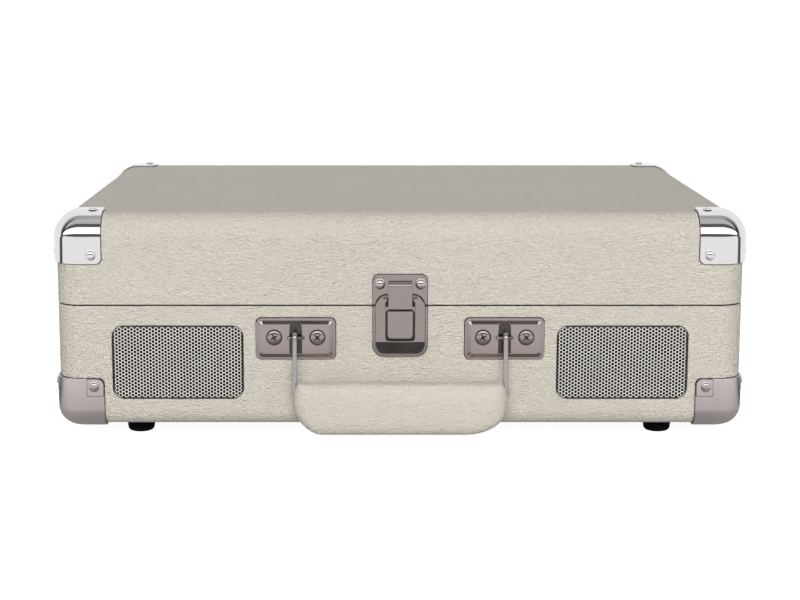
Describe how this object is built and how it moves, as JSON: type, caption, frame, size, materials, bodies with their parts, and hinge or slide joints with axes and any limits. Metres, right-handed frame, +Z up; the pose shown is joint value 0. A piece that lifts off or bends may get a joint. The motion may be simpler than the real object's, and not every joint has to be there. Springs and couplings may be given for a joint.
{
  "type": "suitcase record player",
  "caption": "Portable suitcase record player, closed: a leatherette case with metal corners, latch, hanging handle and speaker grilles, with a complete turntable inside.",
  "frame": {"origin": "on the surface that the feet stand on, below the middle of the closed object's box, handle and hinges included", "axes": "+Z up, the latch and handle face -Y, +X along the long front edge to the right seen from the front"},
  "size_m": [0.3646, 0.2906, 0.1228],
  "materials": {
    "black_plastic": "matte",
    "black_rubber": "matte",
    "chrome": "gloss",
    "circuit": "satin",
    "felt": "matte",
    "grille_metal": "satin",
    "hardboard": "matte",
    "leatherette": "satin",
    "nickel": "satin",
    "paper_cone": "matte",
    "red_plastic": "gloss",
    "steel": "satin"
  },
  "bodies": {
    "case": {"base_tub": "leatherette", "bottom_panel": "hardboard", "corner_lower_front_left": "nickel", "corner_lower_front_right": "nickel", "corner_lower_back_left": "nickel", "corner_lower_back_right": "nickel", "foot_front_left": "black_rubber", "foot_front_right": "black_rubber", "foot_back_left": "black_rubber", "foot_back_right": "black_rubber", "grille_left": "grille_metal", "grille_right": "grille_metal", "speaker_driver_left": "steel", "speaker_driver_right": "steel", "speaker_cone_left": "paper_cone", "speaker_cone_right": "paper_cone", "handle_bracket_left": "nickel", "handle_bracket_right": "nickel", "hinge_base_leaf_left": "nickel", "hinge_base_leaf_right": "nickel", "hinge_pin_left": "steel", "hinge_pin_right": "steel", "latch_keeper_plate": "nickel", "deck_plate": "black_plastic", "platter_spindle": "steel", "motor": "steel", "drive_belt": "black_rubber", "tonearm_base": "black_plastic", "armrest": "black_plastic", "rear_jack_panel": "black_plastic", "rca_jacks": "black_plastic", "dc_jack": "black_plastic", "circuit_board": "circuit"},
    "lid": {"lid_shell": "leatherette", "corner_upper_front_left": "chrome", "corner_upper_front_right": "chrome", "corner_upper_back_left": "chrome", "corner_upper_back_right": "chrome", "latch_lid_plate": "nickel", "hinge_lid_leaf_left": "nickel", "hinge_lid_leaf_right": "nickel"},
    "hasp": {"latch_hasp": "nickel"},
    "handle": {"handle_bail": "steel", "handle_grip": "leatherette"},
    "turntable": {"platter": "black_plastic", "slipmat": "felt"},
    "pulley": {"motor_pulley": "steel"},
    "arm_post": {"tonearm_gimbal": "black_plastic"},
    "arm": {"tonearm_tube": "black_plastic", "headshell": "black_plastic", "cartridge": "red_plastic"},
    "platform": {"cue_platform": "black_plastic"},
    "lever": {"cue_lever": "black_plastic"},
    "clip": {"arm_clip": "black_plastic"},
    "volume": {"volume_knob": "black_plastic"},
    "function": {"function_knob": "black_plastic"},
    "pitch": {"pitch_knob": "black_plastic"},
    "speed": {"speed_switch": "black_plastic"},
    "autostop": {"autostop_switch": "black_plastic"},
    "adapter": {"adapter_45": "black_plastic"}
  },
  "joints": [
    {"name": "lid_hinge", "type": "hinge", "parent": "case", "child": "lid", "pos_m": [0, 0.14267, 0.0737], "axis": [-1, 0, 0], "range_deg": [0, 100]},
    {"name": "hasp_hinge", "type": "hinge", "parent": "lid", "child": "hasp", "pos_m": [0, -0.13062, 0.0784], "axis": [-1, 0, 0], "range_deg": [0, 110]},
    {"name": "handle_hinge", "type": "hinge", "parent": "case", "child": "handle", "pos_m": [0, -0.13173, 0.057], "axis": [-1, 0, 0], "range_deg": [0, 130]},
    {"name": "platter_spin", "type": "hinge", "parent": "case", "child": "turntable", "pos_m": [-0.048, 0.00598, 0.0775], "axis": [0, 0, -1], "continuous": true},
    {"name": "pulley_spin", "type": "hinge", "parent": "case", "child": "pulley", "pos_m": [-0.105, 0.06298, 0.0775], "axis": [0, 0, -1], "continuous": true},
    {"name": "tonearm_swing", "type": "hinge", "parent": "case", "child": "arm_post", "pos_m": [0.108, 0.06797, 0.092], "axis": [0, 0, -1], "range_deg": [0, 50]},
    {"name": "tonearm_lift", "type": "hinge", "parent": "arm_post", "child": "arm", "pos_m": [0.108, 0.06797, 0.092], "axis": [-1, 0, 0], "range_deg": [0, 4]},
    {"name": "cue_platform_lift", "type": "slide", "parent": "case", "child": "platform", "axis": [0, 0, 1], "range_m": [0, 0.002]},
    {"name": "cue_lever_tilt", "type": "hinge", "parent": "case", "child": "lever", "pos_m": [0.134, 0.05797, 0.077], "axis": [-1, 0, 0], "range_deg": [0, 50]},
    {"name": "arm_clip_hinge", "type": "hinge", "parent": "case", "child": "clip", "pos_m": [0.1138, -0.03902, 0.0954], "axis": [0, -1, 0], "range_deg": [0, 90]},
    {"name": "volume_turn", "type": "hinge", "parent": "case", "child": "volume", "pos_m": [0.15, -0.09202, 0.069], "axis": [0, 0, -1], "range_deg": [0, 300]},
    {"name": "function_turn", "type": "hinge", "parent": "case", "child": "function", "pos_m": [0.15, -0.05602, 0.069], "axis": [0, 0, -1], "range_deg": [0, 60]},
    {"name": "pitch_turn", "type": "hinge", "parent": "case", "child": "pitch", "pos_m": [0.15, -0.02003, 0.069], "axis": [0, 0, -1], "range_deg": [-135, 135]},
    {"name": "speed_slide", "type": "slide", "parent": "case", "child": "speed", "axis": [1, 0, 0], "range_m": [-0.005, 0.005]},
    {"name": "autostop_slide", "type": "slide", "parent": "case", "child": "autostop", "axis": [1, 0, 0], "range_m": [0, 0.006]},
    {"name": "adapter_lift_out", "type": "slide", "parent": "case", "child": "adapter", "axis": [0, 0, 1], "range_m": [0, 0.02]}
  ],
  "couplings": [
    {"joint": "pulley_spin", "follows": "platter_spin", "ratio": 11.851},
    {"joint": "cue_platform_lift", "follows": "tonearm_lift", "m_per_rad": 0.028},
    {"joint": "cue_lever_tilt", "follows": "tonearm_lift", "ratio": 12.5}
  ]
}
